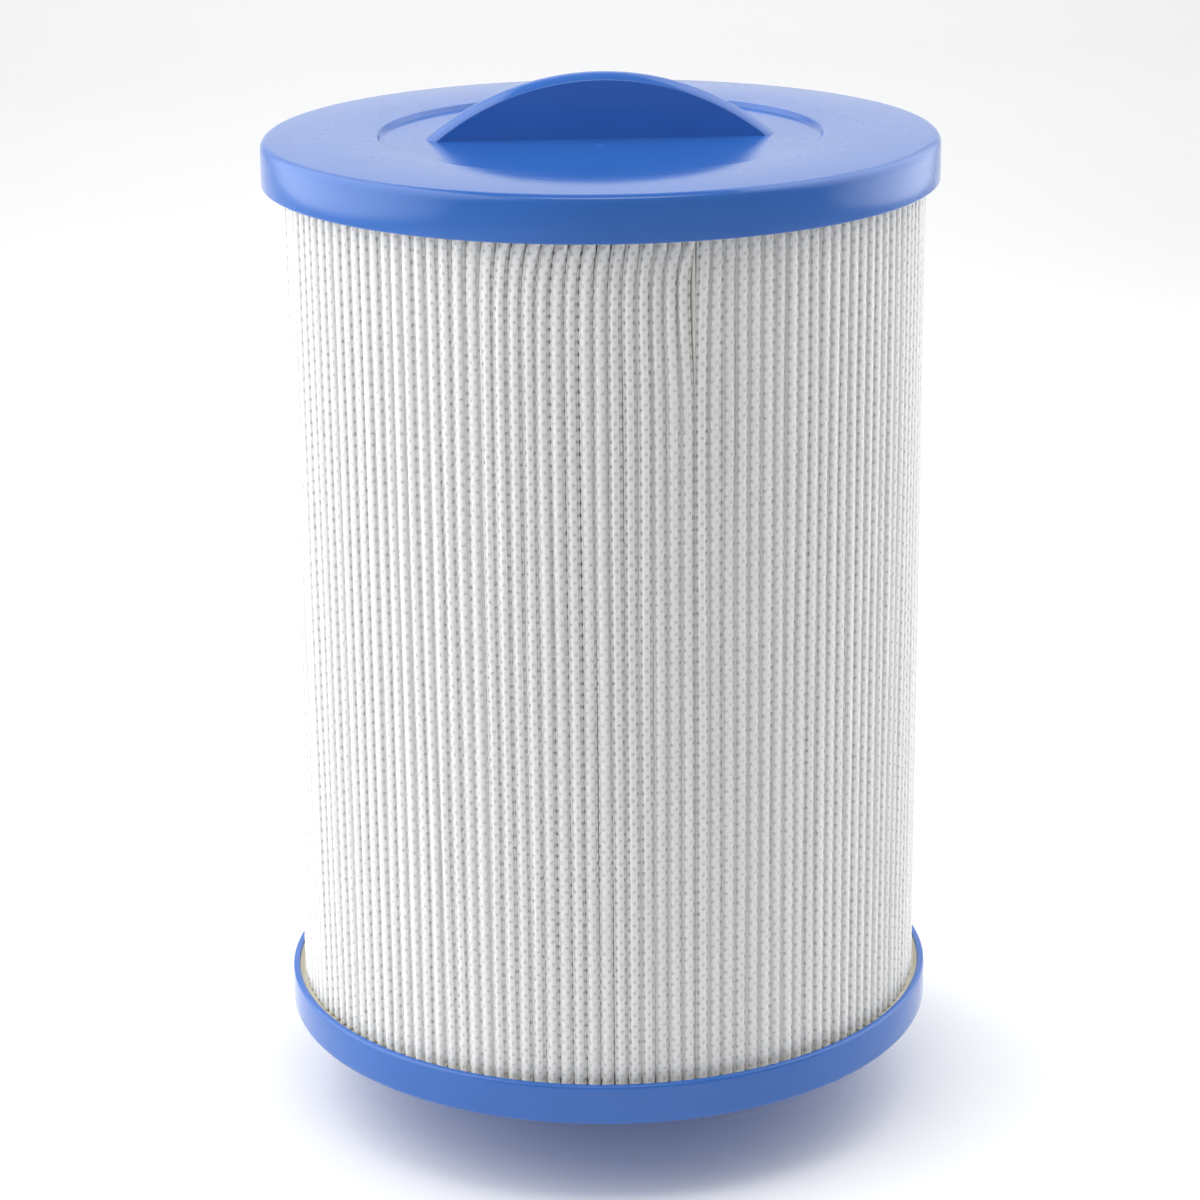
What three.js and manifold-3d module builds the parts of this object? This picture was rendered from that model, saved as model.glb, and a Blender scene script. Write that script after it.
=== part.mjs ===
// Screw-in pleated filter cartridge for a spa, with a handle on its lid.
// Millimetres, +Z up. The origin is the centre of the thread's end face, on the cartridge's axis.

import * as THREE from 'three';
import { mergeVertices } from 'three/addons/utils/BufferGeometryUtils.js';
import Module from 'manifold-3d';

const wasm = await Module();
wasm.setup();

// Driving dimensions: a nominal 6 by 8 1/4 inch cartridge with a 1 1/2 inch male thread.
const CAP_RADIUS = 76;
const BODY_HEIGHT = 208.2;
const GAP = 0.3;
const ROUND_SEGMENTS = 60;

// Threaded spigot
const THREAD_RADIUS = 24;
const THREAD_DEPTH = 1.35;
const THREAD_PITCH = 25.4 / 11.5;
const THREAD_TURNS = 7;
const THREAD_START = 1.6;
const THREAD_CHAMFER = 0.6;
const RIDGE_FOOT = 0.96 * THREAD_PITCH;
const RIDGE_CREST = 0.16 * THREAD_PITCH;
const RIDGE_SUNK = 0.5;
const RUNOUT_SUNK = 0.2;
const STEPS_PER_TURN = 28;
const SPIGOT_LENGTH = 20;
const BORE_RADIUS = 19.5;
const NECK_RADIUS = 24.4;

// The adapter's flange, glued under the core, and its collar inside the core
const ADAPTER_FLANGE_RADIUS = 33;
const ADAPTER_FLANGE_THICKNESS = 2.5;
const COLLAR_HEIGHT = 8;
const COLLAR_WALL = 2;

// End caps
const CAP_WALL = 1.6;
const CAP_FLOOR = 2.4;
const BOTTOM_RIM_HEIGHT = 9.6;
const BOTTOM_EDGE_RADIUS = 1.5;
const LIP_RADIUS = 0.8;
const LID_RIM_HEIGHT = 10.1;
const LID_THICKNESS = 2.8;
const LID_EDGE_RADIUS = 2;
const STEP_RADIUS = 50;
const STEP_DROP = 1.1;

// Handle: a slice of a round-edged disc standing on the lid
const HANDLE_CHORD = 78.2;
const HANDLE_HEIGHT = 14.5;
const HANDLE_THICKNESS = 7;
const HANDLE_EDGE_RADIUS = 1.4;
const HANDLE_SEGMENTS = 96;

// Pleated medium, as a ring of the folded pack's outer shape, with a slot where the sheet's ends meet.
// The slot is SEAM_VALLEY valleys from the front, counted towards +X.
const PLEATS = 150;
const PLEAT_RADIUS = 73.2;
const ROOT_RADIUS = 29.6;
const SEAM_VALLEY = 5;
const SEAM_WIDTH = 0.5;
const SEAM_DEPTH = 12;
const SEAM_RECESS = 1.5;
const SEAM_ANGLE = 2 * Math.PI * SEAM_VALLEY / PLEATS - Math.PI / 2;

// Potting that holds the pleat ends
const POTTING_BELOW_RIM = 1.8;

// Core: two perforated sections with a spigot joint, and a plug in the top one
const CORE_RADIUS = 29;
const CORE_WALL = 2.8;
const CORE_SEGMENTS = 32;
const CORE_COLUMNS = 8;
const CORE_ROWS = 5;
const WINDOW_WIDTH = 14;
const RIB_HEIGHT = 4;
const JOINT_DEPTH = 4;
const PLUG_FLANGE = 2;
const PLUG_DEPTH = 5;
const PLUG_WALL = 2;

// Levels along the axis, worked out from the sizes above
const CAP_BASE = SPIGOT_LENGTH;
const FLANGE_TOP = CAP_BASE + BODY_HEIGHT;
const DISC_TOP = FLANGE_TOP - STEP_DROP;
const LID_UNDERSIDE = FLANGE_TOP - LID_THICKNESS;
const DISC_UNDERSIDE = DISC_TOP - LID_THICKNESS;
const FLOOR_TOP = CAP_BASE + CAP_FLOOR;
const BOTTOM_RIM_TOP = CAP_BASE + BOTTOM_RIM_HEIGHT;
const LID_RIM_END = FLANGE_TOP - LID_RIM_HEIGHT;
const BOTTOM_POTTING_TOP = BOTTOM_RIM_TOP - POTTING_BELOW_RIM;
const TOP_POTTING_END = LID_RIM_END + POTTING_BELOW_RIM;
const MEDIUM_BASE = BOTTOM_POTTING_TOP + GAP;
const MEDIUM_TOP = TOP_POTTING_END - GAP;
const ADAPTER_FLANGE_BASE = FLOOR_TOP + GAP;
const ADAPTER_FLANGE_TOP = ADAPTER_FLANGE_BASE + ADAPTER_FLANGE_THICKNESS;
const COLLAR_TOP = ADAPTER_FLANGE_TOP + COLLAR_HEIGHT;
const CORE_BASE = ADAPTER_FLANGE_TOP + GAP;
const CORE_TOP = MEDIUM_TOP - PLUG_FLANGE - GAP;
const SECTION_HEIGHT = (CORE_TOP - CORE_BASE - GAP) / 2;

// Radii worked out from the sizes above
const CAP_BORE = CAP_RADIUS - CAP_WALL;
const CORE_BORE = CORE_RADIUS - CORE_WALL;
const IN_CORE = CORE_BORE - GAP;
const LID_SHOULDER = STEP_RADIUS + LID_THICKNESS / 2;

const BLUE = { color: 0x2f62c8, roughness: 0.22, metalness: 0 };
const CREAM = { color: 0xe6dcae, roughness: 0.5, metalness: 0 };
const WHITE_CLOTH = { color: 0xeeeeea, roughness: 0.9, metalness: 0 };
const WHITE_PLASTIC = { color: 0xe9ebec, roughness: 0.4, metalness: 0 };

function piece(name, geometry, look) {
  const mesh = new THREE.Mesh(geometry, new THREE.MeshStandardMaterial(look));
  mesh.name = name;
  return mesh;
}

// Merged positions only, which is what a closed solid needs.
function welded(geometry) {
  const bare = geometry.clone();
  bare.deleteAttribute('normal');
  bare.deleteAttribute('uv');
  return mergeVertices(bare, 1e-4);
}

function solidOf(geometry) {
  const bare = welded(geometry);
  const mesh = new wasm.Mesh({
    numProp: 3,
    vertProperties: Float32Array.from(bare.attributes.position.array),
    triVerts: Uint32Array.from(bare.index.array),
  });
  return new wasm.Manifold(mesh);
}

function geometryOf(solid) {
  const mesh = solid.getMesh();
  const geometry = new THREE.BufferGeometry();
  geometry.setAttribute('position', new THREE.BufferAttribute(mesh.vertProperties, 3));
  geometry.setIndex(new THREE.BufferAttribute(mesh.triVerts, 1));
  return geometry;
}

// A solid of revolution about Z from [radius, z] points, listed anticlockwise.
function turned(profile, segments = ROUND_SEGMENTS) {
  const points = profile.map(([radius, z]) => new THREE.Vector2(radius, z));
  const onAxis = profile[0][0] === 0 && profile[profile.length - 1][0] === 0;
  if (!onAxis) points.push(points[0].clone());
  const geometry = new THREE.LatheGeometry(points, segments);
  geometry.rotateX(Math.PI / 2);
  return geometry;
}

// Points of an arc round [centreRadius, centreZ], from one angle to another in degrees.
function arc(centreRadius, centreZ, size, from, to, steps = 3) {
  const points = [];
  for (let i = 0; i <= steps; i += 1) {
    const angle = THREE.MathUtils.degToRad(from + (to - from) * i / steps);
    points.push([centreRadius + size * Math.cos(angle), centreZ + size * Math.sin(angle)]);
  }
  return points;
}

function lid() {
  const edge = CAP_RADIUS - LID_EDGE_RADIUS;
  return turned([
    [0, DISC_UNDERSIDE],
    [LID_SHOULDER, DISC_UNDERSIDE],
    [LID_SHOULDER, LID_UNDERSIDE],
    [CAP_BORE, LID_UNDERSIDE],
    [CAP_BORE, LID_RIM_END],
    [CAP_RADIUS, LID_RIM_END],
    ...arc(edge, FLANGE_TOP - LID_EDGE_RADIUS, LID_EDGE_RADIUS, 0, 90),
    [STEP_RADIUS, FLANGE_TOP],
    [STEP_RADIUS - STEP_DROP / 3, DISC_TOP],
    [0, DISC_TOP],
  ]);
}

function handle() {
  const half = HANDLE_CHORD / 2;
  const radius = (half * half + HANDLE_HEIGHT * HANDLE_HEIGHT) / (2 * HANDLE_HEIGHT);
  const side = HANDLE_THICKNESS / 2;
  const flat = side - HANDLE_EDGE_RADIUS;
  const rim = radius - HANDLE_EDGE_RADIUS;
  const profile = [
    [0, -side],
    ...arc(rim, -flat, HANDLE_EDGE_RADIUS, -90, 0),
    ...arc(rim, flat, HANDLE_EDGE_RADIUS, 0, 90),
    [0, side],
  ];
  const disc = new THREE.LatheGeometry(profile.map(([r, y]) => new THREE.Vector2(r, y)), HANDLE_SEGMENTS);
  disc.translate(0, 0, HANDLE_HEIGHT - radius);
  const room = new THREE.BoxGeometry(2 * radius, 2 * HANDLE_THICKNESS, 2 * HANDLE_HEIGHT);
  room.translate(0, 0, HANDLE_HEIGHT + GAP);
  return geometryOf(solidOf(disc).intersect(solidOf(room)));
}

function bottomCap() {
  const edge = CAP_RADIUS - BOTTOM_EDGE_RADIUS;
  const lip = CAP_RADIUS - LIP_RADIUS;
  return turned([
    [NECK_RADIUS + GAP, CAP_BASE],
    ...arc(edge, CAP_BASE + BOTTOM_EDGE_RADIUS, BOTTOM_EDGE_RADIUS, -90, 0),
    ...arc(lip, BOTTOM_RIM_TOP - LIP_RADIUS, LIP_RADIUS, 0, 90, 2),
    [CAP_BORE, BOTTOM_RIM_TOP],
    [CAP_BORE, FLOOR_TOP],
    [NECK_RADIUS + GAP, FLOOR_TOP],
  ]);
}

function topPotting() {
  const shoulder = LID_SHOULDER + GAP;
  return turned([
    [0, TOP_POTTING_END],
    [CAP_BORE - GAP, TOP_POTTING_END],
    [CAP_BORE - GAP, LID_UNDERSIDE - GAP],
    [shoulder, LID_UNDERSIDE - GAP],
    [shoulder, DISC_UNDERSIDE - GAP],
    [0, DISC_UNDERSIDE - GAP],
  ]);
}

function bottomPotting() {
  const overFlange = ADAPTER_FLANGE_TOP + GAP;
  return turned([
    [ADAPTER_FLANGE_RADIUS + GAP, FLOOR_TOP + GAP],
    [CAP_BORE - GAP, FLOOR_TOP + GAP],
    [CAP_BORE - GAP, BOTTOM_POTTING_TOP],
    [CORE_RADIUS + GAP, BOTTOM_POTTING_TOP],
    [CORE_RADIUS + GAP, overFlange],
    [ADAPTER_FLANGE_RADIUS + GAP, overFlange],
  ]);
}

// The helical ridge: a closed sweep of a four-sided section that fades in and out over a quarter turn.
function threadRidge() {
  const root = THREAD_RADIUS - THREAD_DEPTH;
  const inner = root - RIDGE_SUNK;
  const steps = THREAD_TURNS * STEPS_PER_TURN;
  const fade = STEPS_PER_TURN / 4;
  const positions = [];
  const index = [];
  for (let i = 0; i <= steps; i += 1) {
    const angle = 2 * Math.PI * i / STEPS_PER_TURN;
    const z = THREAD_START + THREAD_PITCH * (i / STEPS_PER_TURN + 0.5);
    const height = Math.min(1, i / fade, (steps - i) / fade);
    const outer = root + THREAD_DEPTH * height - RUNOUT_SUNK * (1 - height);
    const section = [
      [inner, -RIDGE_FOOT / 2],
      [outer, -RIDGE_CREST / 2],
      [outer, RIDGE_CREST / 2],
      [inner, RIDGE_FOOT / 2],
    ];
    for (const [radius, dz] of section) {
      positions.push(radius * Math.cos(angle), radius * Math.sin(angle), z + dz);
    }
  }
  for (let i = 0; i < steps; i += 1) {
    for (let k = 0; k < 4; k += 1) {
      const a = 4 * i + k;
      const b = 4 * i + (k + 1) % 4;
      index.push(a, a + 4, b, b, a + 4, b + 4);
    }
  }
  const last = 4 * steps;
  index.push(0, 1, 2, 0, 2, 3);
  index.push(last, last + 2, last + 1, last, last + 3, last + 2);
  const geometry = new THREE.BufferGeometry();
  geometry.setAttribute('position', new THREE.BufferAttribute(new Float32Array(positions), 3));
  geometry.setIndex(index);
  return geometry;
}

// Thread, neck, flange and the collar inside the core, moulded in one.
function threadedAdapter() {
  const root = THREAD_RADIUS - THREAD_DEPTH;
  const threadEnd = THREAD_START + THREAD_PITCH * (THREAD_TURNS + 1);
  const body = turned([
    [BORE_RADIUS, 0],
    [root - THREAD_CHAMFER, 0],
    [root, THREAD_CHAMFER],
    [root, threadEnd],
    [NECK_RADIUS, threadEnd],
    [NECK_RADIUS, ADAPTER_FLANGE_BASE],
    [ADAPTER_FLANGE_RADIUS, ADAPTER_FLANGE_BASE],
    [ADAPTER_FLANGE_RADIUS, ADAPTER_FLANGE_TOP],
    [IN_CORE, ADAPTER_FLANGE_TOP],
    [IN_CORE, COLLAR_TOP],
    [IN_CORE - COLLAR_WALL, COLLAR_TOP],
    [BORE_RADIUS, ADAPTER_FLANGE_TOP],
  ], STEPS_PER_TURN);
  return geometryOf(solidOf(body).add(solidOf(threadRidge())));
}

// One core section's windowed tube, from its own base, turned from a closed outline.
function perforated(profile) {
  let solid = solidOf(turned(profile, CORE_SEGMENTS));
  const firstRow = 2 * RIB_HEIGHT;
  const rowPitch = (SECTION_HEIGHT - 2 * firstRow + RIB_HEIGHT) / CORE_ROWS;
  const windowHeight = rowPitch - RIB_HEIGHT;
  for (let row = 0; row < CORE_ROWS; row += 1) {
    for (let column = 0; column < CORE_COLUMNS / 2; column += 1) {
      const cutter = new THREE.BoxGeometry(WINDOW_WIDTH, 3 * CORE_RADIUS, windowHeight);
      cutter.translate(0, 0, firstRow + row * rowPitch + windowHeight / 2);
      cutter.rotateZ((column + 0.5) * 2 * Math.PI / CORE_COLUMNS);
      solid = solid.subtract(solidOf(cutter));
    }
  }
  return geometryOf(solid);
}

// The lower section ends in a spigot, half the wall thick.
function lowerCore() {
  const spigotRadius = CORE_RADIUS - CORE_WALL / 2 - GAP / 2;
  return perforated([
    [CORE_BORE, 0],
    [CORE_RADIUS, 0],
    [CORE_RADIUS, SECTION_HEIGHT],
    [spigotRadius, SECTION_HEIGHT],
    [spigotRadius, SECTION_HEIGHT + JOINT_DEPTH],
    [CORE_BORE, SECTION_HEIGHT + JOINT_DEPTH],
  ]);
}

// The upper section starts with the socket that takes the spigot.
function upperCore() {
  const socketRadius = CORE_RADIUS - CORE_WALL / 2 + GAP / 2;
  return perforated([
    [CORE_BORE, JOINT_DEPTH + GAP],
    [socketRadius, JOINT_DEPTH + GAP],
    [socketRadius, 0],
    [CORE_RADIUS, 0],
    [CORE_RADIUS, SECTION_HEIGHT],
    [CORE_BORE, SECTION_HEIGHT],
  ]);
}

function corePlug() {
  return turned([
    [0, MEDIUM_TOP - PLUG_FLANGE],
    [IN_CORE - PLUG_WALL, MEDIUM_TOP - PLUG_FLANGE],
    [IN_CORE - PLUG_WALL, CORE_TOP - PLUG_DEPTH],
    [IN_CORE, CORE_TOP - PLUG_DEPTH],
    [IN_CORE, MEDIUM_TOP - PLUG_FLANGE],
    [CORE_RADIUS, MEDIUM_TOP - PLUG_FLANGE],
    [CORE_RADIUS, MEDIUM_TOP],
    [0, MEDIUM_TOP],
  ], CORE_SEGMENTS);
}

function polar(radius, angle) {
  return new THREE.Vector2(radius * Math.cos(angle), radius * Math.sin(angle));
}

function pleatedMedium() {
  const halfSlot = SEAM_WIDTH / 2 + GAP;
  const slotFloor = PLEAT_RADIUS - SEAM_DEPTH - GAP;
  const outside = [
    polar(slotFloor, SEAM_ANGLE - halfSlot / slotFloor),
    polar(slotFloor, SEAM_ANGLE + halfSlot / slotFloor),
    polar(PLEAT_RADIUS, SEAM_ANGLE + halfSlot / PLEAT_RADIUS),
  ];
  for (let i = 1; i < ROUND_SEGMENTS; i += 1) {
    outside.push(polar(PLEAT_RADIUS, SEAM_ANGLE + 2 * Math.PI * i / ROUND_SEGMENTS));
  }
  outside.push(polar(PLEAT_RADIUS, SEAM_ANGLE - halfSlot / PLEAT_RADIUS));
  const ring = new THREE.Shape(outside);
  const bore = new THREE.Path();
  bore.absarc(0, 0, ROOT_RADIUS, 0, 2 * Math.PI, true);
  ring.holes.push(bore);
  const depth = MEDIUM_TOP - MEDIUM_BASE;
  return new THREE.ExtrudeGeometry(ring, { depth, bevelEnabled: false, curveSegments: CORE_SEGMENTS });
}

// The adhesive bead in the slot.
function seamBead() {
  const bead = new THREE.BoxGeometry(SEAM_DEPTH - SEAM_RECESS, SEAM_WIDTH, MEDIUM_TOP - MEDIUM_BASE);
  const middle = PLEAT_RADIUS - (SEAM_DEPTH + SEAM_RECESS) / 2;
  bead.translate(middle, 0, (MEDIUM_TOP + MEDIUM_BASE) / 2);
  bead.rotateZ(SEAM_ANGLE);
  return bead;
}

function cartridge() {
  const group = new THREE.Group();

  const lidGroup = new THREE.Group();
  lidGroup.add(piece('top_cap', lid(), BLUE));
  const fin = piece('handle', handle(), BLUE);
  fin.position.z = DISC_TOP;
  lidGroup.add(fin);
  lidGroup.add(piece('top_potting', topPotting(), CREAM));
  group.add(lidGroup);

  const packGroup = new THREE.Group();
  packGroup.position.z = MEDIUM_BASE;
  packGroup.add(piece('pleated_medium', pleatedMedium(), WHITE_CLOTH));
  group.add(packGroup);
  group.add(piece('side_seam', seamBead(), CREAM));

  const coreGroup = new THREE.Group();
  coreGroup.position.z = CORE_BASE;
  coreGroup.add(piece('core_lower', lowerCore(), WHITE_PLASTIC));
  const upper = piece('core_upper', upperCore(), WHITE_PLASTIC);
  upper.position.z = SECTION_HEIGHT + GAP;
  coreGroup.add(upper);
  group.add(coreGroup);
  group.add(piece('core_plug', corePlug(), WHITE_PLASTIC));

  const baseGroup = new THREE.Group();
  baseGroup.add(piece('bottom_cap', bottomCap(), BLUE));
  baseGroup.add(piece('bottom_potting', bottomPotting(), CREAM));
  baseGroup.add(piece('threaded_adapter', threadedAdapter(), BLUE));
  group.add(baseGroup);
  return group;
}

export default cartridge();
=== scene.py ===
"""Looks of a screw-in pleated spa filter cartridge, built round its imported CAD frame.

Metres, +Z up, in the CAD's frame: the origin is the centre of the thread's end face, and the handle lies
along X.
"""
import math

import bmesh
import bpy
import numpy as np
from mathutils import Matrix, Vector


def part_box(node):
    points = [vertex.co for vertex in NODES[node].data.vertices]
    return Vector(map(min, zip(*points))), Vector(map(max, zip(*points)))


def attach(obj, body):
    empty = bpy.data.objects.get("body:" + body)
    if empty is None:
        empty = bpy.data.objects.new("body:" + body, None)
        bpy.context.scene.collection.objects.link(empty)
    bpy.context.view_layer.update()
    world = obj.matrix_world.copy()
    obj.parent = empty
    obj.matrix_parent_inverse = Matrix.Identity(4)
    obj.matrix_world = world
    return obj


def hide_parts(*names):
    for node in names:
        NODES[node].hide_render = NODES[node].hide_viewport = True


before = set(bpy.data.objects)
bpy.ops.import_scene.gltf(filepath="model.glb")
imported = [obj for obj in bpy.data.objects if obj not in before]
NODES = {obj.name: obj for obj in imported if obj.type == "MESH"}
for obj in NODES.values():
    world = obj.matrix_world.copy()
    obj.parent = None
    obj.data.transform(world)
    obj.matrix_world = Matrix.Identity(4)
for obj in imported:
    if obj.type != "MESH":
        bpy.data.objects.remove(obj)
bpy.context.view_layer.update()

MM = 0.001
BODY = "root"

# Places that the frame gives
LID_LOW, LID_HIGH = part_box("top_cap")
CAP_LOW, CAP_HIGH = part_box("bottom_cap")
HANDLE_LOW, HANDLE_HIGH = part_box("handle")
MEDIUM_LOW, MEDIUM_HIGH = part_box("pleated_medium")
ADAPTER_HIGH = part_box("threaded_adapter")[1]
POTTING_LOW, POTTING_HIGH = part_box("bottom_potting")
CAP_RADIUS = LID_HIGH.x
FLANGE_TOP = LID_HIGH.z
RIM_END = LID_LOW.z
GAP = 0.3 * MM
DISC_TOP = HANDLE_LOW.z - GAP


def reach(node):
    """A CAD node's largest distance from the axis."""
    return max(math.hypot(v.co.x, v.co.y) for v in NODES[node].data.vertices)


PLEAT_RADIUS = reach("pleated_medium")
CORE_RADIUS = reach("core_lower")
ROOT_RADIUS = CORE_RADIUS + 2 * GAP

# Moulded pieces
WALL = 1.6 * MM
LID_THICKNESS = 2.8 * MM
STEP_RADIUS = 50 * MM
CAP_FLOOR = 2.4 * MM
CAP_BORE = 24.7 * MM
BORE_RADIUS = 19.5 * MM
ADAPTER_FLANGE = 33 * MM
ADAPTER_FLANGE_THICKNESS = 2.5 * MM
COLLAR_HEIGHT = 8 * MM
COLLAR_WALL = 2 * MM
IN_CORE = CORE_RADIUS - 3.1 * MM

# Handle
HALF_CHORD = 39.1 * MM
CROWN = 1.5 * MM
HANDLE_FILLET = 0.35 * MM
HANDLE_STEPS = 96
FILLET_STEPS = 5
CROWN_STEPS = 24

# Thread
THREAD_RADIUS = 24 * MM
THREAD_DEPTH = 1.35 * MM
THREAD_PITCH = 25.4 / 11.5 * MM
THREAD_TURNS = 7
THREAD_START = 1.6 * MM
THREAD_STEPS = 96
NECK = THREAD_RADIUS + 0.4 * MM

# Core: a section's height is without the spigot that joins it to the next
CORE_SECTION = 96.1 * MM
CORE_WALL = 2.8 * MM
WINDOW_COLUMNS = 8
WINDOW_ROWS = 5
WINDOW_WIDTH = 14 * MM
RIB = 4 * MM
PLUG_FLANGE = 2 * MM
PLUG_WALL = 2 * MM

# Folded sheet
PLEATS = 150
PITCH = 2 * math.pi / PLEATS
SHEET = 0.5 * MM
CREST = 0.88 * MM
CREST_RISE = 0.52 * MM
CREST_CENTRE = PLEAT_RADIUS - CREST_RISE
FLANKS = ((0.06 * MM, 0.12 * MM), (0.2 * MM, 0.2 * MM))
SHOULDER = CREST_CENTRE - 0.24 * MM
VALLEY = ROOT_RADIUS + SHEET
TOUCH = 0.03 * MM
STIFFNESS = 26
FOOT_PINCH = 0.2 * MM
HEAD_PINCH = 0.2 * MM

# Dimples, on a lattice of staggered rows
LATTICE_TIERS = 72
LATTICE_RISE = (MEDIUM_HIGH.z - MEDIUM_LOW.z) / LATTICE_TIERS
LATTICE_SPAN = 1.25 * MM
DIMPLE_DEPTH = 0.17 * MM
ROWS_PER_TIER = 4
INNER_EVERY = 12

# Seam, right of the front
SEAM_ANGLE = math.radians(12)
BEAD_DEPTH = 12 * MM
BEAD_ROWS = 120
BEAD_SIDES = 10
BEAD_CORNERS = 0.3

# View
SENSOR = 36
LENS = 99.4
EYE = Vector((-0.00116, -0.7381, 0.3359))
PITCH_DOWN = math.radians(17.87)
ROLL = math.radians(-0.6)
TURN = math.radians(-3.2)

ROUND = 192
SMOOTH_ANGLE = math.radians(35)


# ---------------------------------------------------------------- meshes

def new_object(name, verts, faces):
    """A mesh object with its faces turned outward, smooth except across sharp edges."""
    mesh = bpy.data.meshes.new(name)
    mesh.from_pydata([tuple(v) for v in verts], [], faces)
    bm = bmesh.new()
    bm.from_mesh(mesh)
    bmesh.ops.recalc_face_normals(bm, faces=bm.faces)
    bm.to_mesh(mesh)
    bm.free()
    mesh.shade_smooth()
    mesh.set_sharp_from_angle(angle=SMOOTH_ANGLE)
    obj = bpy.data.objects.new(name, mesh)
    bpy.context.scene.collection.objects.link(obj)
    return obj


def rounded(corners, steps=6):
    """A closed outline of (radius, z, fillet) corners in metres, with each fillet as an arc."""
    points = []
    count = len(corners)
    for i, (r, z, fillet) in enumerate(corners):
        here = Vector((r, z))
        if fillet == 0:
            points.append(here)
            continue
        before = (Vector(corners[i - 1][:2]) - here).normalized()
        after = (Vector(corners[(i + 1) % count][:2]) - here).normalized()
        half = before.angle(after) / 2
        centre = here + (before + after).normalized() * (fillet / math.sin(half))
        start = here + before * (fillet / math.tan(half)) - centre
        end = here + after * (fillet / math.tan(half)) - centre
        sweep = start.angle_signed(end)
        for k in range(steps + 1):
            points.append(centre + Matrix.Rotation(-sweep * k / steps, 2) @ start)
    return [(p.x, p.y) for p in points]


def turned(name, profile, segments=ROUND):
    """A closed outline of (radius, z) turned round the Z axis. Outline points on the axis become poles."""
    verts, rings = [], []
    for r, z in profile:
        if r < 1e-7:
            rings.append([len(verts)] * segments)
            verts.append((0, 0, z))
        else:
            rings.append(list(range(len(verts), len(verts) + segments)))
            for k in range(segments):
                angle = 2 * math.pi * k / segments
                verts.append((r * math.cos(angle), r * math.sin(angle), z))
    faces = []
    for low, high in zip(rings, rings[1:] + rings[:1]):
        for k in range(segments):
            corner = [low[k], low[(k + 1) % segments], high[(k + 1) % segments], high[k]]
            face = list(dict.fromkeys(corner))
            if len(face) > 2:
                faces.append(face)
    return new_object(name, verts, faces)


def joined(obj, other):
    """obj's mesh with other's added to it as one closed solid; other is removed."""
    modifier = obj.modifiers.new("join", "BOOLEAN")
    modifier.operation = "UNION"
    modifier.solver = "EXACT"
    modifier.object = other
    depsgraph = bpy.context.evaluated_depsgraph_get()
    mesh = bpy.data.meshes.new_from_object(obj.evaluated_get(depsgraph))
    obj.modifiers.clear()
    obj.data = mesh
    bpy.data.objects.remove(other)
    mesh.shade_smooth()
    mesh.set_sharp_from_angle(angle=SMOOTH_ANGLE)
    return obj


def waves(rows, columns, count, most_round, most_along, seed):
    """A smooth random field over (row, column), about -1 to 1, that closes on itself round the columns."""
    rng = np.random.default_rng(seed)
    along = np.linspace(0, 1, rows)[:, None]
    around = np.linspace(0, 1, columns, endpoint=False)[None, :]
    field = np.zeros((rows, columns))
    for _ in range(count):
        turns = rng.integers(0, most_round + 1)
        climb = rng.uniform(0, most_along)
        phase = rng.uniform(0, 2 * math.pi, 2)
        wave = np.cos(2 * math.pi * turns * around + phase[0])
        field += wave * np.cos(2 * math.pi * climb * along + phase[1])
    return field / math.sqrt(count)


# ---------------------------------------------------------------- materials

class Look:
    """A node material round one Principled shader, with short calls for the nodes used here."""

    def __init__(self, name, colour, roughness):
        self.material = bpy.data.materials.new(name)
        self.material.use_nodes = True
        self.tree = self.material.node_tree
        self.shader = self.tree.nodes["Principled BSDF"]
        self.shader.inputs["Base Color"].default_value = (*colour, 1)
        self.shader.inputs["Roughness"].default_value = roughness

    def node(self, kind, **values):
        node = self.tree.nodes.new(kind)
        for key, value in values.items():
            setattr(node, key, value)
        return node

    def link(self, source, target):
        self.tree.links.new(source, target)

    def place(self):
        return self.node("ShaderNodeTexCoord").outputs["Object"]

    def noise(self, scale, detail=3.0, rough=0.55, stretch=None):
        source = self.place()
        if stretch:
            mapping = self.node("ShaderNodeMapping")
            mapping.inputs["Scale"].default_value = stretch
            self.link(source, mapping.inputs["Vector"])
            source = mapping.outputs["Vector"]
        noise = self.node("ShaderNodeTexNoise")
        noise.inputs["Scale"].default_value = scale
        noise.inputs["Detail"].default_value = detail
        noise.inputs["Roughness"].default_value = rough
        self.link(source, noise.inputs["Vector"])
        return noise.outputs["Fac"]

    def spread(self, source, low, high, to_low, to_high):
        ranged = self.node("ShaderNodeMapRange")
        for key, value in (("From Min", low), ("From Max", high), ("To Min", to_low), ("To Max", to_high)):
            ranged.inputs[key].default_value = value
        self.link(source, ranged.inputs["Value"])
        return ranged.outputs["Result"]

    def math(self, operation, first, second=None):
        node = self.node("ShaderNodeMath", operation=operation)
        for socket, value in zip(node.inputs, (first, second)):
            if value is None:
                continue
            if isinstance(value, (int, float)):
                socket.default_value = value
            else:
                self.link(value, socket)
        return node.outputs[0]

    def mix(self, factor, first, second):
        node = self.node("ShaderNodeMix", data_type="RGBA")
        sockets = [s for s in node.inputs if s.type == "RGBA"]
        for socket, value in zip(sockets, (first, second)):
            if isinstance(value, tuple):
                socket.default_value = (*value, 1)
            else:
                self.link(value, socket)
        self.link(factor, node.inputs["Factor"])
        return next(s for s in node.outputs if s.type == "RGBA")

    def bump(self, height, strength, distance, below=None):
        node = self.node("ShaderNodeBump")
        node.inputs["Strength"].default_value = strength
        node.inputs["Distance"].default_value = distance
        self.link(height, node.inputs["Height"])
        if below is not None:
            self.link(below, node.inputs["Normal"])
        return node.outputs["Normal"]

    def to(self, socket, value):
        self.link(value, self.shader.inputs[socket])


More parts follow.
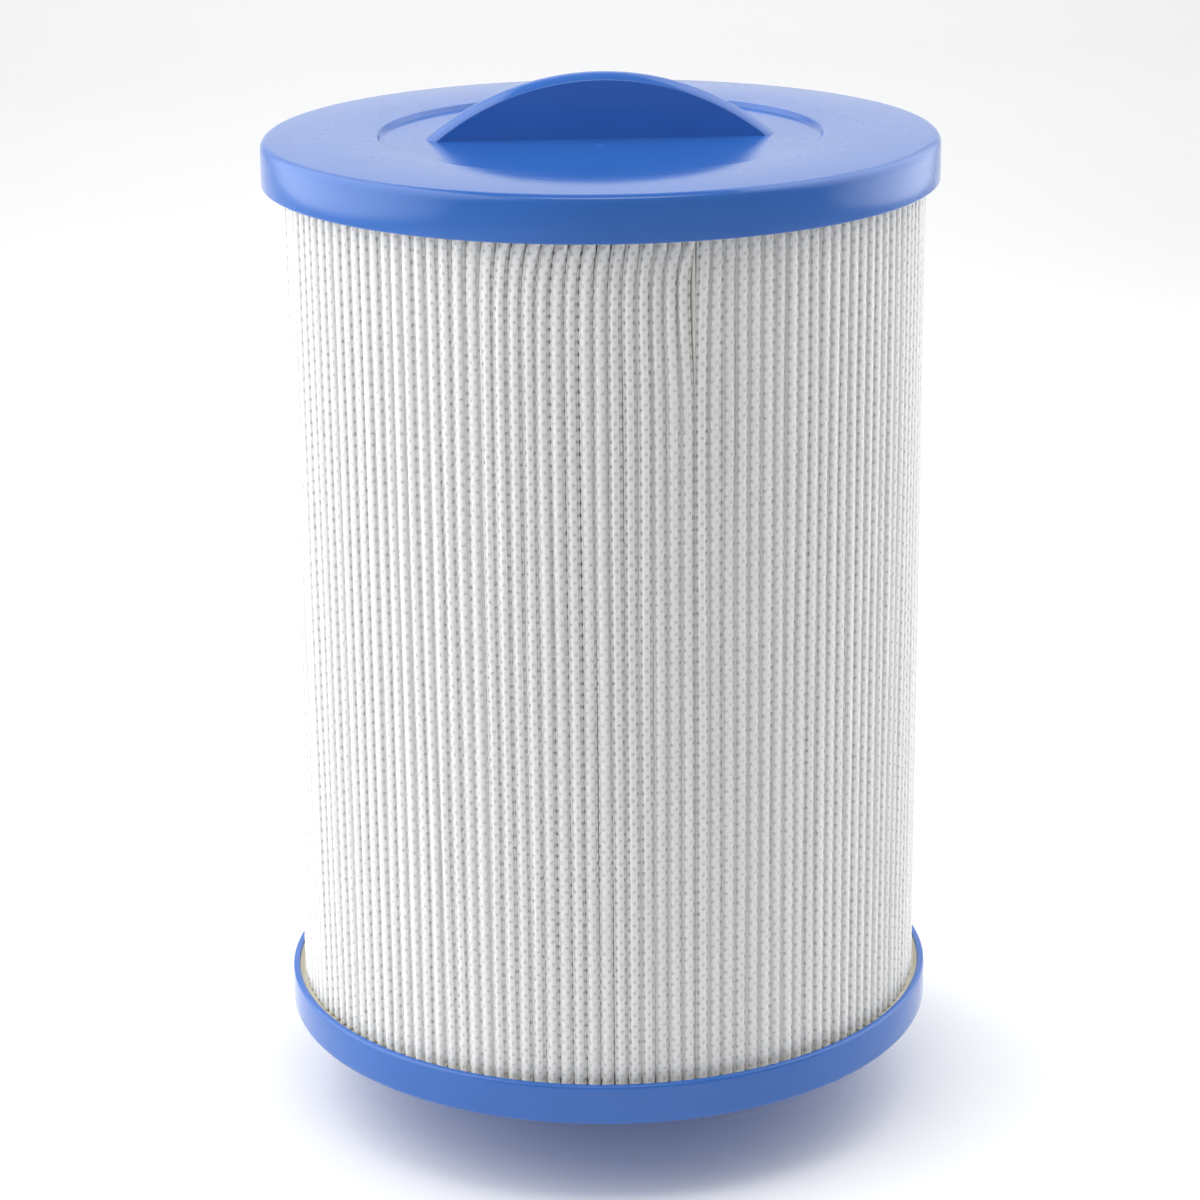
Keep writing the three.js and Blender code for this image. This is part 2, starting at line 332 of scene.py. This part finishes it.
def blue_plastic():
    """Glossy injection-moulded blue, with faint flow mottling and a trace of orange peel and scratches."""
    look = Look("blue_plastic", (0.03, 0.115, 0.6), 0.16)
    mottle = look.spread(look.noise(45, 3), 0.3, 0.7, 0, 1)
    look.to("Base Color", look.mix(mottle, (0.026, 0.124, 0.45), (0.03, 0.136, 0.48)))
    worn = look.noise(160, 5, 0.7)
    look.to("Roughness", look.spread(worn, 0.35, 0.75, 0.14, 0.16))
    peel = look.bump(look.noise(350, 1), 0.015, 0.0002)
    scratches = look.noise(900, 4, 0.8, stretch=(1, 0.08, 1))
    look.to("Normal", look.bump(scratches, 0.005, 0.0001, peel))
    look.shader.inputs["IOR"].default_value = 1.5
    return look.material


def fleece(span, rise):
    """White point-bonded polyester: dimples on a staggered lattice, and fine crossing fibres."""
    look = Look("fleece", (0.84, 0.84, 0.82), 0.92)
    fold = look.node("ShaderNodeAttribute", attribute_name="fold").outputs["Fac"]
    height = look.node("ShaderNodeSeparateXYZ")
    look.link(look.place(), height.inputs[0])
    across = look.math("COSINE", look.math("MULTIPLY", fold, math.pi / span))
    lift = look.math("SUBTRACT", height.outputs["Z"], MEDIUM_LOW.z)
    up = look.math("COSINE", look.math("MULTIPLY", lift, 2 * math.pi / rise))
    lattice = look.math("MULTIPLY", across, up)
    ragged = look.math("MULTIPLY", look.math("SUBTRACT", look.noise(1500, 3, 0.7), 0.5), 0.5)
    dimple = look.spread(look.math("ADD", lattice, ragged), 0.5, 0.85, 0, 1)
    fibres = look.noise(5200, 4, 0.75, stretch=(1, 1, 0.35))
    tone = look.spread(fibres, 0.3, 0.7, 0, 1)
    cloth = look.mix(tone, (0.84, 0.845, 0.815), (0.92, 0.92, 0.89))
    look.to("Base Color", look.mix(dimple, cloth, (0.74, 0.75, 0.72)))
    pressed = look.bump(look.math("SUBTRACT", 1.0, dimple), 0.7, 0.00022)
    look.to("Normal", look.bump(fibres, 0.5, 0.0001, pressed))
    look.shader.inputs["Subsurface Weight"].default_value = 0.7
    look.shader.inputs["Subsurface Radius"].default_value = (1, 1, 0.95)
    look.shader.inputs["Subsurface Scale"].default_value = 0.0016
    look.shader.inputs["Specular IOR Level"].default_value = 0.25
    return look.material


def adhesive():
    """Pale cream cast polyurethane with small bubbles and a satin skin."""
    look = Look("adhesive", (0.8, 0.76, 0.64), 0.35)
    cloud = look.spread(look.noise(60, 4), 0.3, 0.7, 0, 1)
    look.to("Base Color", look.mix(cloud, (0.74, 0.69, 0.54), (0.84, 0.81, 0.72)))
    cells = look.node("ShaderNodeTexVoronoi")
    cells.inputs["Scale"].default_value = 700
    look.link(look.place(), cells.inputs["Vector"])
    bubbles = look.spread(cells.outputs["Distance"], 0.0, 0.18, 0, 1)
    look.to("Normal", look.bump(bubbles, 0.3, 0.0002))
    look.to("Roughness", look.spread(look.noise(220, 3), 0.3, 0.7, 0.28, 0.5))
    return look.material


def seam_glue():
    """Clear glue soaked into the sheet's two ends: a greyish white with a satin skin."""
    look = Look("seam_glue", (0.6, 0.61, 0.55), 0.45)
    cloud = look.spread(look.noise(260, 4), 0.3, 0.7, 0, 1)
    look.to("Base Color", look.mix(cloud, (0.62, 0.63, 0.57), (0.72, 0.73, 0.68)))
    look.to("Normal", look.bump(look.noise(900, 3), 0.3, 0.0002))
    return look.material


def core_plastic():
    """White moulded plastic with a fine satin grain."""
    look = Look("core_plastic", (0.78, 0.8, 0.81), 0.4)
    tone = look.spread(look.noise(80, 3), 0.3, 0.7, 0, 1)
    look.to("Base Color", look.mix(tone, (0.74, 0.76, 0.77), (0.82, 0.83, 0.83)))
    look.to("Roughness", look.spread(look.noise(300, 4), 0.3, 0.7, 0.32, 0.5))
    look.to("Normal", look.bump(look.noise(1200, 3), 0.15, 0.0001))
    return look.material


def dress(obj, material, slot, *nodes):
    """Gives a piece its material, has it ride on the cartridge and stand for CAD nodes. The slot argument is
    not used.
    """
    obj.data.materials.clear()
    obj.data.materials.append(material)
    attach(obj, BODY)
    if nodes:
        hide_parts(*nodes)


# ---------------------------------------------------------------- moulded pieces

def lid():
    under = FLANGE_TOP - LID_THICKNESS
    disc_under = DISC_TOP - LID_THICKNESS
    shoulder = STEP_RADIUS + LID_THICKNESS / 2
    return turned("lid", rounded([
        (0, DISC_TOP, 0),
        (STEP_RADIUS - 0.7 * MM, DISC_TOP, 0.5 * MM),
        (STEP_RADIUS, FLANGE_TOP, 0.45 * MM),
        (CAP_RADIUS, FLANGE_TOP, 2.0 * MM),
        (CAP_RADIUS, RIM_END, 0.4 * MM),
        (CAP_RADIUS - WALL, RIM_END, 0.4 * MM),
        (CAP_RADIUS - WALL, under, 0.6 * MM),
        (shoulder, under, 0.6 * MM),
        (shoulder, disc_under, 0.6 * MM),
        (0, disc_under, 0),
    ]), 2 * ROUND)


def grip():
    """The handle: an arched fin with a crowned top, standing on the lid's inner disc."""
    height = HANDLE_HIGH.z - DISC_TOP
    side = (HANDLE_HIGH.y - HANDLE_LOW.y) / 2
    radius = (HALF_CHORD ** 2 + height ** 2) / (2 * height)
    drop = radius - height
    bend = (side ** 2 + CROWN ** 2) / (2 * CROWN)
    inner = bend - HANDLE_FILLET
    slope = math.asin((side - HANDLE_FILLET) / inner)
    edge = []
    for k in range(FILLET_STEPS + 1):
        angle = math.radians(90) + (slope - math.radians(90)) * k / FILLET_STEPS
        reached = radius - bend + inner * math.cos(slope) + HANDLE_FILLET * math.cos(angle)
        edge.append((reached, -(side - HANDLE_FILLET) - HANDLE_FILLET * math.sin(angle)))
    section = list(edge)
    for k in range(1, CROWN_STEPS):
        angle = slope * (1 - 2 * k / CROWN_STEPS)
        section.append((radius - bend + bend * math.cos(angle), -bend * math.sin(angle)))
    section += [(r, -y) for r, y in reversed(edge)]
    sunk = 0.1 * MM
    verts = []
    for distance, y in section:
        most = math.acos((drop - sunk) / distance)
        for k in range(HANDLE_STEPS + 1):
            angle = most * (2 * k / HANDLE_STEPS - 1)
            verts.append((distance * math.sin(angle), y, DISC_TOP + distance * math.cos(angle) - drop))
    width = HANDLE_STEPS + 1
    rows = len(section)
    faces = []
    for row in range(rows - 1):
        for k in range(HANDLE_STEPS):
            a = row * width + k
            faces.append((a, a + 1, a + 1 + width, a + width))
    faces.append(tuple(range(width)))
    faces.append(tuple((rows - 1) * width + k for k in range(width)))
    left_ends = [row * width for row in range(rows)]
    right_ends = [row * width + HANDLE_STEPS for row in reversed(range(rows))]
    faces.append(tuple(left_ends + right_ends))
    return new_object("handle_grip", verts, faces)


def gate_mark():
    """The small trimmed stub where the lid's moulding was fed, in front of the handle."""
    size = 0.75 * MM
    height = 0.22 * MM
    profile = [(0, 0), (size, 0), (0.7 * size, 0.7 * height), (0.35 * size, height), (0, 0.8 * height)]
    mark = turned("gate_mark", profile, 24)
    place = Matrix.Translation((-0.6 * MM, -11.8 * MM, DISC_TOP - 0.02 * MM))
    mark.data.transform(place @ Matrix.Diagonal((1.6, 0.7, 1, 1)))
    return mark


def base_ring():
    floor = CAP_LOW.z + CAP_FLOOR
    return turned("base_ring", rounded([
        (CAP_BORE, CAP_LOW.z, 0.3 * MM),
        (CAP_RADIUS, CAP_LOW.z, 1.5 * MM),
        (CAP_RADIUS, CAP_HIGH.z, 0.8 * MM),
        (CAP_RADIUS - WALL, CAP_HIGH.z, 0.4 * MM),
        (CAP_RADIUS - WALL, floor, 0.5 * MM),
        (CAP_BORE, floor, 0.3 * MM),
    ]), 2 * ROUND)


def base_adhesive():
    """The lower potting, drawn a little up the ring's wall and up the foot of the pleats."""
    wall = CAP_RADIUS - WALL - 0.05 * MM
    top = POTTING_HIGH.z
    creep = CAP_HIGH.z - top - 0.7 * MM
    hole = ADAPTER_FLANGE + GAP
    shelf = ADAPTER_HIGH.z - COLLAR_HEIGHT + GAP
    steps = 6
    profile = [(hole, POTTING_LOW.z), (wall, POTTING_LOW.z)]
    for k in range(steps + 1):
        share = k / steps
        profile.append((wall - 1.1 * MM * share, top + creep * (1 - share) ** 2))
    profile += [(CORE_RADIUS + GAP, top), (CORE_RADIUS + GAP, shelf), (hole, shelf)]
    return turned("base_adhesive", profile)


def thread():
    """The male thread, neck, flange and collar, with the ridge joined on as a helix that rises and fades in a
    quarter turn at each end. The ridge's section is (height over the root, place along the pitch) points."""
    root = THREAD_RADIUS - THREAD_DEPTH
    run_out = THREAD_START + THREAD_PITCH * (THREAD_TURNS + 1)
    flange = ADAPTER_HIGH.z - COLLAR_HEIGHT
    flange_base = flange - ADAPTER_FLANGE_THICKNESS
    body = turned("thread", rounded([
        (BORE_RADIUS, 0, 0.4 * MM),
        (root, 0, 0.6 * MM),
        (root, run_out, 0),
        (NECK, run_out, 0.25 * MM),
        (NECK, flange_base, 0),
        (ADAPTER_FLANGE, flange_base, 0.3 * MM),
        (ADAPTER_FLANGE, flange, 0.3 * MM),
        (IN_CORE, flange, 0),
        (IN_CORE, ADAPTER_HIGH.z, 0.3 * MM),
        (IN_CORE - COLLAR_WALL, ADAPTER_HIGH.z, 0.3 * MM),
        (BORE_RADIUS, flange, 0.5 * MM),
    ], 4), 144)
    steps = THREAD_TURNS * THREAD_STEPS
    sunk = 0.4 * MM
    edge = 0.12 * MM
    verts = []
    for i in range(steps + 1):
        angle = 2 * math.pi * i / THREAD_STEPS
        z = THREAD_START + THREAD_PITCH * (i / THREAD_STEPS + 0.5)
        grown = min(1, i / THREAD_STEPS * 4, (steps - i) / THREAD_STEPS * 4)
        crest = root + THREAD_DEPTH * grown - 0.1 * MM * (1 - grown)
        half = [(root - sunk, 0.46), (crest - edge, 0.1), (crest, 0.05)]
        for r, along in [(r, -along) for r, along in half] + half[::-1]:
            verts.append((r * math.cos(angle), r * math.sin(angle), z + along * THREAD_PITCH))
    sides = 6
    faces = [tuple(range(sides)), tuple(sides * steps + k for k in range(sides))]
    for i in range(steps):
        for k in range(sides):
            a = sides * i + k
            b = sides * i + (k + 1) % sides
            faces.append((a, a + sides, b + sides, b))
    return joined(body, new_object("ridge", verts, faces))


# ---------------------------------------------------------------- core

def core_tube(name, node):
    """A perforated tube: a cage of ribs with window cells left out, thickened and smoothed. Solid bands twice
    as high as a rib close it off at both ends."""
    low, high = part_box(node)
    half = math.asin(WINDOW_WIDTH / 2 / CORE_RADIUS)
    turns = []
    for k in range(WINDOW_COLUMNS):
        centre = 2 * math.pi * (k + 0.5) / WINDOW_COLUMNS
        turns += [centre - half, centre, centre + half, centre + math.pi / WINDOW_COLUMNS]
    height = min(CORE_SECTION, high.z - low.z)
    first = 2 * RIB
    tier = (height - 2 * first + RIB) / WINDOW_ROWS
    levels = [0, RIB]
    for k in range(WINDOW_ROWS):
        levels += [first + k * tier, first + k * tier + tier - RIB]
    levels += [height - RIB, height]
    verts = [(CORE_RADIUS * math.cos(a), CORE_RADIUS * math.sin(a), low.z + z) for z in levels for a in turns]
    count = len(turns)
    window_rows = range(2, len(levels) - 3, 2)
    faces = []
    for row in range(len(levels) - 1):
        for k in range(count):
            if row in window_rows and k % 4 < 2:
                continue
            a = row * count + k
            b = row * count + (k + 1) % count
            faces.append((a, b, b + count, a + count))
    tube = new_object(name, verts, faces)
    thick = tube.modifiers.new("wall", "SOLIDIFY")
    thick.thickness = CORE_WALL
    thick.offset = -1
    thick.use_even_offset = True
    fine = tube.modifiers.new("fine", "SUBSURF")
    fine.levels = 2
    fine.render_levels = 2
    return tube


def core_end():
    low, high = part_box("core_plug")
    under = high.z - PLUG_FLANGE
    return turned("core_end", rounded([
        (0, under, 0),
        (IN_CORE - PLUG_WALL, under, 0.4 * MM),
        (IN_CORE - PLUG_WALL, low.z, 0.3 * MM),
        (IN_CORE, low.z, 0.3 * MM),
        (IN_CORE, under, 0),
        (CORE_RADIUS, under, 0.3 * MM),
        (CORE_RADIUS, high.z, 0.3 * MM),
        (0, high.z, 0),
    ], 4))


# ---------------------------------------------------------------- folded sheet

def parting(hanging):
    """How far the valley at the seam has opened, 0 to 1, at a distance under the lid's rim."""
    return (1 - np.exp(-((hanging / (5 * MM)) ** 2))) / (1 + np.exp((hanging - 24 * MM) / (5 * MM)))


def sideways(angle, z):
    """How far the crests lean sideways at an angle from the front (radians) and a height. Left of the seam
    they lean to the right under the lid, and those next to it bow away from it below. A second valley opens
    lower down, two pleats to the right of the seam."""
    hanging = np.maximum(RIM_END - z, 0)
    from_seam = (np.degrees(angle - SEAM_ANGLE) + 180) % 360 - 180
    squeezed = np.exp(-hanging / (6 * MM))
    left = np.where(from_seam < 0, np.interp(from_seam, (-42, -28, 0), (0, 1, 0.25)), 0)
    lean = 2.9 * MM * left * squeezed
    lean -= np.where(from_seam < 0, 2.1 * MM, 0) * parting(hanging) * np.exp(-np.abs(from_seam) / 6)
    upper = np.exp(-((hanging / (12 * MM)) ** 2))
    lean += np.where(from_seam > 0, 0.9 * MM, 0) * upper * np.exp(-np.abs(from_seam) / 4)
    second = from_seam - 2 * 360 / PLEATS
    opened = np.exp(-(((hanging - 38 * MM) / (20 * MM)) ** 2))
    lean += 0.4 * MM * opened * np.sign(second) * np.exp(-np.abs(second) / 3)
    return lean


def fold_columns():
    """One pleat's cross-section, as columns from its left root over the crest to the valley on its right. It is
    round at the crest, swells at the shoulders until it nearly touches its neighbours, and is wedge-shaped from
    there to the core. Each column has a sideways place, a radius and an outward direction, for the outer face
    and then for the inner one. The columns' places along the sheet come third."""
    right = []
    for k in range(4):
        angle = math.radians(30 * k)
        right.append((CREST * math.sin(angle), CREST_CENTRE + CREST_RISE * math.cos(angle)))
    for beside, under in FLANKS:
        right.append((CREST + beside, CREST_CENTRE - under))
    for radius in (SHOULDER, VALLEY + 0.6 * MM):
        right.append((PITCH / 2 * radius - TOUCH, radius))
    path = np.array([(-x, r) for x, r in reversed(right[1:])] + right)
    along = np.gradient(path, axis=0)
    along /= np.hypot(along[:, 0], along[:, 1])[:, None]
    normal = np.stack([-along[:, 1], along[:, 0]], axis=1)
    outer = np.hstack([path, normal])
    inner = np.hstack([path - SHEET * normal, normal])
    outer = np.vstack([outer, (PITCH / 2 * VALLEY, VALLEY, 0, 1)])
    inner = np.vstack([inner, (PITCH / 2 * ROOT_RADIUS, ROOT_RADIUS, 0, 1)])
    steps = np.hypot(np.diff(outer[:, 0]), np.diff(outer[:, 1]))
    length = np.concatenate([[0], np.cumsum(steps)])
    return outer, inner, length


def sheet_surface(columns, length, rows, offsets, wander, swell, depth):
    """The points of one face of the folded sheet, as (row, column, xyz), and each column's place along the
    sheet. The crests are free to lean and swell, and the folds are stiffer towards the core."""
    count = len(columns)
    z = np.linspace(MEDIUM_LOW.z, MEDIUM_HIGH.z, rows)[:, None, None]
    middle = (-math.pi / 2 + PITCH * (np.arange(PLEATS) + 0.5))[None, :, None]
    across, radius, side, out = (columns[:, i][None, None, :] for i in range(4))
    root = columns[:, 1].min()
    loose = np.clip((radius - root) / (PLEAT_RADIUS - root), 0, 1) ** STIFFNESS
    every = (wander.shape[0] - 1) // (rows - 1)
    lean = sideways(middle + math.pi / 2, z)
    shift = loose * (lean + loose * wander[::every, :, None])
    pinch = FOOT_PINCH * np.exp((MEDIUM_LOW.z - z) / (1.6 * MM))
    pinch = pinch + HEAD_PINCH * np.exp((z - MEDIUM_HIGH.z) / (6 * MM))
    swollen = (np.abs(across) > 1.001 * CREST) & (radius > (PLEAT_RADIUS + ROOT_RADIUS) / 2)
    across = across - np.sign(across) * pinch * swollen
    fold = offsets[None, :, None] + length[None, None, :]
    lattice = np.cos(math.pi * fold / LATTICE_SPAN) * np.cos(2 * math.pi * (z - MEDIUM_LOW.z) / LATTICE_RISE)
    pressed = -depth * np.clip((lattice - 0.1) / 0.8, 0, 1)
    reached = radius + (pressed * out + swell[::every, :, None] * loose)
    angle = middle + (across + shift + pressed * side) / radius
    points = np.stack([reached * np.cos(angle), reached * np.sin(angle), z + 0 * angle], axis=-1)
    return points.reshape(rows, PLEATS * count, 3), np.broadcast_to(fold, (1, PLEATS, count)).ravel()


def grid_faces(rows, columns, first, flipped):
    """Quads of a grid that closes round its columns."""
    row = np.arange(rows - 1)[:, None] * columns
    here = np.arange(columns)[None, :]
    beside = (here + 1) % columns
    quads = [row + here, row + beside, row + columns + beside, row + columns + here]
    if flipped:
        quads.reverse()
    return first + np.stack(np.broadcast_arrays(*quads), axis=-1).reshape(-1, 4)


def folded_sheet():
    """The sheet as one closed mesh of two faces, dimpled outside, and the width that it has laid flat."""
    outer, inner, length = fold_columns()
    rows = LATTICE_TIERS * ROWS_PER_TIER + 1
    inner_rows = (rows - 1) // INNER_EVERY + 1
    rng = np.random.default_rng(7)
    offsets = LATTICE_SPAN * rng.integers(0, 2, PLEATS) + rng.normal(0, 0.22 * MM, PLEATS) - length[-1] / 2
    wander = 0.16 * MM * waves(rows, PLEATS, 60, PLEATS // 2, 2.5, 3)
    wander += 0.25 * MM * waves(rows, PLEATS, 24, 12, 1.2, 4)
    swell = 0.14 * MM * waves(rows, PLEATS, 60, PLEATS // 2, 1.5, 5) - 0.15 * MM
    outside, fold = sheet_surface(outer, length, rows, offsets, wander, swell, DIMPLE_DEPTH)
    inside, _ = sheet_surface(inner, length, inner_rows, offsets, wander, swell, 0)
    columns = outside.shape[1]
    points = np.concatenate([outside.reshape(-1, 3), inside.reshape(-1, 3)])
    first_inner = rows * columns
    faces = [grid_faces(rows, columns, 0, False), grid_faces(inner_rows, columns, first_inner, True)]
    here = np.arange(columns)
    beside = (here + 1) % columns
    ends = ((0, first_inner, False), ((rows - 1) * columns, first_inner + (inner_rows - 1) * columns, True))
    for out_row, in_row, flipped in ends:
        quads = [out_row + here, in_row + here, in_row + beside, out_row + beside]
        if flipped:
            quads.reverse()
        faces.append(np.stack(quads, axis=-1))
    faces = np.concatenate(faces).astype(np.int32)
    mesh = bpy.data.meshes.new("folded_sheet")
    mesh.vertices.add(len(points))
    mesh.vertices.foreach_set("co", points.astype(np.float32).ravel())
    mesh.loops.add(faces.size)
    mesh.loops.foreach_set("vertex_index", faces.ravel())
    mesh.polygons.add(len(faces))
    mesh.polygons.foreach_set("loop_start", np.arange(0, faces.size, 4, dtype=np.int32))
    mesh.update(calc_edges=True)
    attribute = mesh.attributes.new("fold", "FLOAT", "POINT")
    along = np.concatenate([np.tile(fold, rows), np.tile(fold, inner_rows)])
    attribute.data.foreach_set("value", along.astype(np.float32))
    mesh.shade_smooth()
    obj = bpy.data.objects.new("folded_sheet", mesh)
    bpy.context.scene.collection.objects.link(obj)
    return obj, PLEATS * float(length[-1] + np.hypot(*(outer[-1, :2] - outer[0, :2])))


def seam_bead():
    """The glue bead between the sheet's two ends: a bar with round corners, uneven along its length, and
    wider where the seam's valley opens."""
    low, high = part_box("side_seam")
    near = PLEAT_RADIUS - BEAD_DEPTH
    uneven = waves(BEAD_ROWS, 2, 12, 1, 9, 11)
    section = []
    for k in range(BEAD_SIDES):
        angle = 2 * math.pi * (k + 0.5) / BEAD_SIDES
        section.append([math.copysign(abs(x) ** BEAD_CORNERS, x) for x in (math.cos(angle), math.sin(angle))])
    verts = []
    out = Vector((math.sin(SEAM_ANGLE), -math.cos(SEAM_ANGLE), 0))
    side = Vector((math.cos(SEAM_ANGLE), math.sin(SEAM_ANGLE), 0))
    for row in range(BEAD_ROWS):
        z = low.z + (high.z - low.z) * row / (BEAD_ROWS - 1)
        edge = SHOULDER + 0.12 * MM * float(uneven[row, 0])
        opened = float(parting(max(RIM_END - z, 0)))
        width = (0.04 + 0.45 * opened + 0.01 * float(uneven[row, 1])) * MM
        for across, up in section:
            reached = (edge + near) / 2 + (edge - near) / 2 * across
            place = out * reached + side * (width * up - 0.15 * MM * opened)
            verts.append((place.x, place.y, z))
    last = (BEAD_ROWS - 1) * BEAD_SIDES
    faces = [tuple(range(BEAD_SIDES)), tuple(last + k for k in range(BEAD_SIDES))]
    for row in range(BEAD_ROWS - 1):
        for k in range(BEAD_SIDES):
            a = row * BEAD_SIDES + k
            b = row * BEAD_SIDES + (k + 1) % BEAD_SIDES
            faces.append((a, b, b + BEAD_SIDES, a + BEAD_SIDES))
    return new_object("seam_bead", verts, faces)


# ---------------------------------------------------------------- stage

def studio():
    """A pale floor that curves up into a pale backdrop, soft lights at the sides, above and behind, and a
    pale room."""
    bpy.context.scene.view_settings.view_transform = "Standard"
    size = 3.0
    bend = 0.6
    far = 1.6
    top = 2.4
    steps = 16
    profile = [(-size, 0.0), (far, 0.0)]
    for k in range(1, steps + 1):
        angle = math.radians(90 * k / steps)
        profile.append((far + bend * math.sin(angle), bend * (1 - math.cos(angle))))
    profile.append((far + bend, top))
    verts, faces = [], []
    for x in (-size, size):
        verts += [(x, y, z) for y, z in profile]
    count = len(profile)
    for k in range(count - 1):
        faces.append((k, k + count, k + count + 1, k + 1))
    floor = new_object("studio_floor", verts, faces)
    paint = Look("studio_paint", (0.93, 0.93, 0.93), 0.9)
    paint.to("Base Color", paint.mix(paint.noise(3), (0.92, 0.92, 0.925), (0.94, 0.94, 0.94)))
    floor.data.materials.append(paint.material)

    world = bpy.data.worlds.new("room")
    world.use_nodes = True
    world.node_tree.nodes["Background"].inputs["Color"].default_value = (0.97, 0.98, 1.0, 1)
    world.node_tree.nodes["Background"].inputs["Strength"].default_value = 0.37
    bpy.context.scene.world = world

    middle = Vector((0, 0, 0.2))
    panel("panel_left", -95, 0.50, 1.40, 0.90, 0.46, 10.5, middle)
    panel("panel_right", 108, 0.50, 1.00, 0.90, 0.46, 6.5, middle)
    panel("panel_top", 0, 0.28, 0.90, 0.28, 1.10, 3.0, middle)
    panel("wall_light", 180, 0.9, 2.4, 0.9, 1.5, 28, Vector((0, 2.2, 0.7)))


def panel(name, azimuth, distance, width, height, level, power, aim):
    """A soft panel light at an azimuth from the front (degrees, right positive), facing a point and fading to
    its side edges. It lights and shows in reflections, but isn't itself seen."""
    data = bpy.data.lights.new(name, "AREA")
    data.shape = "RECTANGLE"
    data.size = width
    data.size_y = height
    data.energy = power
    data.use_nodes = True
    tree = data.node_tree
    place_on_it = tree.nodes.new("ShaderNodeNewGeometry").outputs["Parametric"]
    split = tree.nodes.new("ShaderNodeSeparateXYZ")
    tree.links.new(place_on_it, split.inputs[0])
    wave = tree.nodes.new("ShaderNodeMath")
    wave.operation = "SINE"
    half_turn = tree.nodes.new("ShaderNodeMath")
    half_turn.operation = "MULTIPLY"
    half_turn.inputs[1].default_value = math.pi
    tree.links.new(split.outputs["X"], half_turn.inputs[0])
    tree.links.new(half_turn.outputs[0], wave.inputs[0])
    tree.links.new(wave.outputs[0], tree.nodes["Emission"].inputs["Strength"])
    light = bpy.data.objects.new(name, data)
    angle = math.radians(azimuth)
    place = Vector((distance * math.sin(angle), -distance * math.cos(angle), level))
    light.location = place
    light.rotation_euler = (aim - place).to_track_quat("-Z", "Y").to_euler()
    light.visible_camera = False
    bpy.context.scene.collection.objects.link(light)


def camera():
    """The view: a long lens a little over the lid, turned a little so that the handle isn't square to it."""
    turn = Matrix.Rotation(TURN, 3, "Z")
    ahead = Vector((0, math.cos(PITCH_DOWN), -math.sin(PITCH_DOWN)))
    upward = Vector((0, math.sin(PITCH_DOWN), math.cos(PITCH_DOWN)))
    right = Vector((1, 0, 0))
    level_right = right * math.cos(ROLL) + upward * math.sin(ROLL)
    level_up = upward * math.cos(ROLL) - right * math.sin(ROLL)
    place = turn @ EYE + Vector((0, 0, CAP_LOW.z))
    axes = Matrix((turn @ level_right, turn @ level_up, turn @ -ahead)).transposed()
    data = bpy.data.cameras.new("camera")
    data.sensor_width = SENSOR
    data.lens = LENS
    data.clip_start = 0.01
    obj = bpy.data.objects.new("camera", data)
    obj.matrix_world = Matrix.Translation(place) @ axes.to_4x4()
    bpy.context.scene.collection.objects.link(obj)
    bpy.context.scene.camera = obj


# ---------------------------------------------------------------- the cartridge

blue = blue_plastic()
glue = adhesive()
white = core_plastic()

dress(lid(), blue, "blue_moulding", "top_cap")
dress(grip(), blue, "blue_moulding", "handle")
dress(gate_mark(), blue, "blue_moulding")
dress(base_ring(), blue, "blue_moulding", "bottom_cap")
dress(thread(), blue, "blue_moulding", "threaded_adapter")
dress(base_adhesive(), glue, "potting", "bottom_potting")
dress(seam_bead(), seam_glue(), "potting", "side_seam")
dress(core_tube("core_tube_lower", "core_lower"), white, "core", "core_lower")
dress(core_tube("core_tube_upper", "core_upper"), white, "core", "core_upper")
dress(core_end(), white, "core", "core_plug")
NODES["top_potting"].data.materials.clear()
NODES["top_potting"].data.materials.append(glue)

sheet, sheet_width = folded_sheet()
dress(sheet, fleece(LATTICE_SPAN, LATTICE_RISE), "medium", "pleated_medium")

studio()
camera()

bpy.context.view_layer.update()
